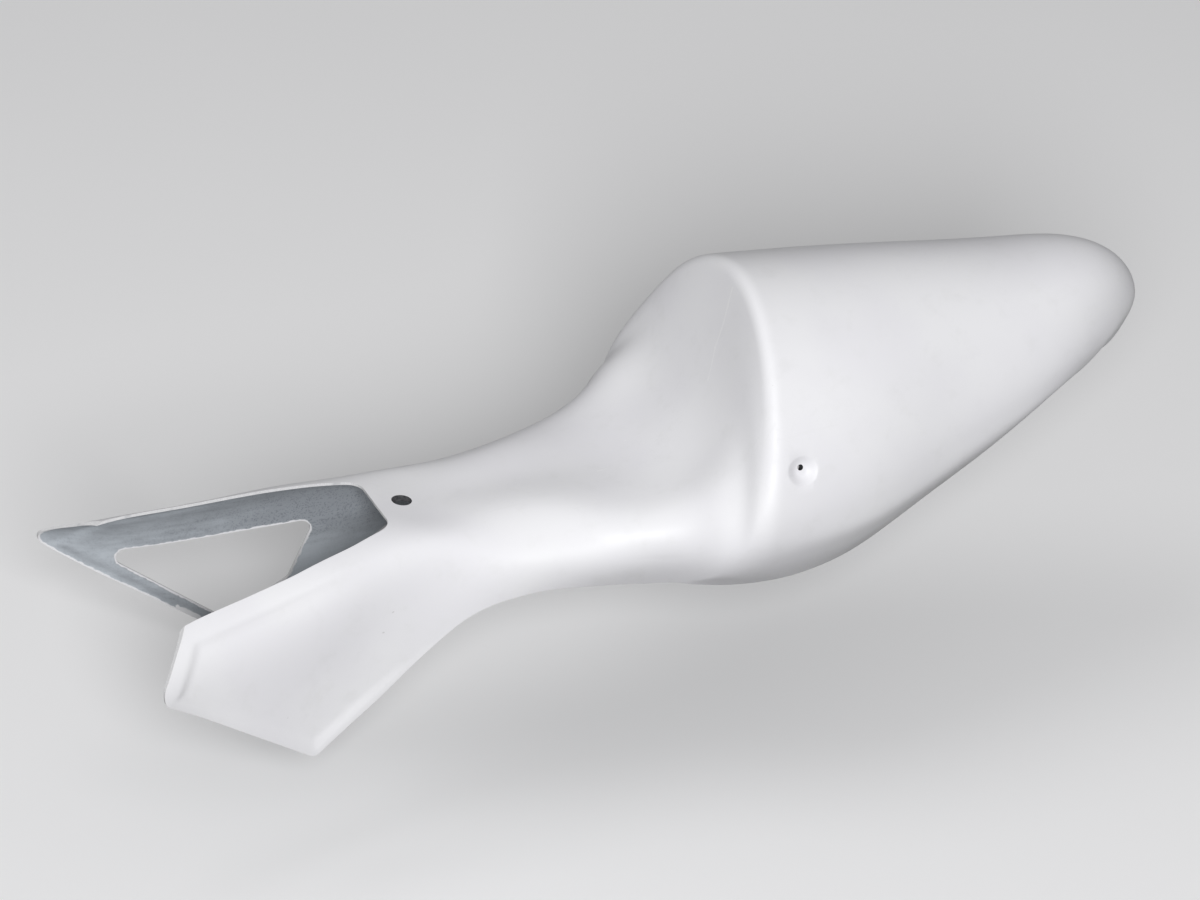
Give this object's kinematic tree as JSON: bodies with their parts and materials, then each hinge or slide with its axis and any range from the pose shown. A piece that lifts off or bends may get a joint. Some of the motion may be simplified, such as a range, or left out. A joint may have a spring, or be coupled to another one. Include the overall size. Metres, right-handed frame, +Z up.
{
  "type": "motorcycle tail fairing",
  "caption": "One-piece moulded race seat and tail: narrow seat, arched backrest, tapering hump, tank notch and forward side wings, one of them with a window.",
  "frame": {"origin": "centre of the seat's front bolt hole, on the outer surface of the seat", "axes": "+X to the front of the motorcycle, +Y to its left, +Z up, along the bolt"},
  "size_m": [0.9579, 0.3218, 0.3126],
  "materials": {
    "gel_coat": "white gel coat over glass-reinforced plastic, satin gloss outside"
  },
  "bodies": {
    "root": {"tail_fairing": "gel_coat"}
  },
  "joints": []
}
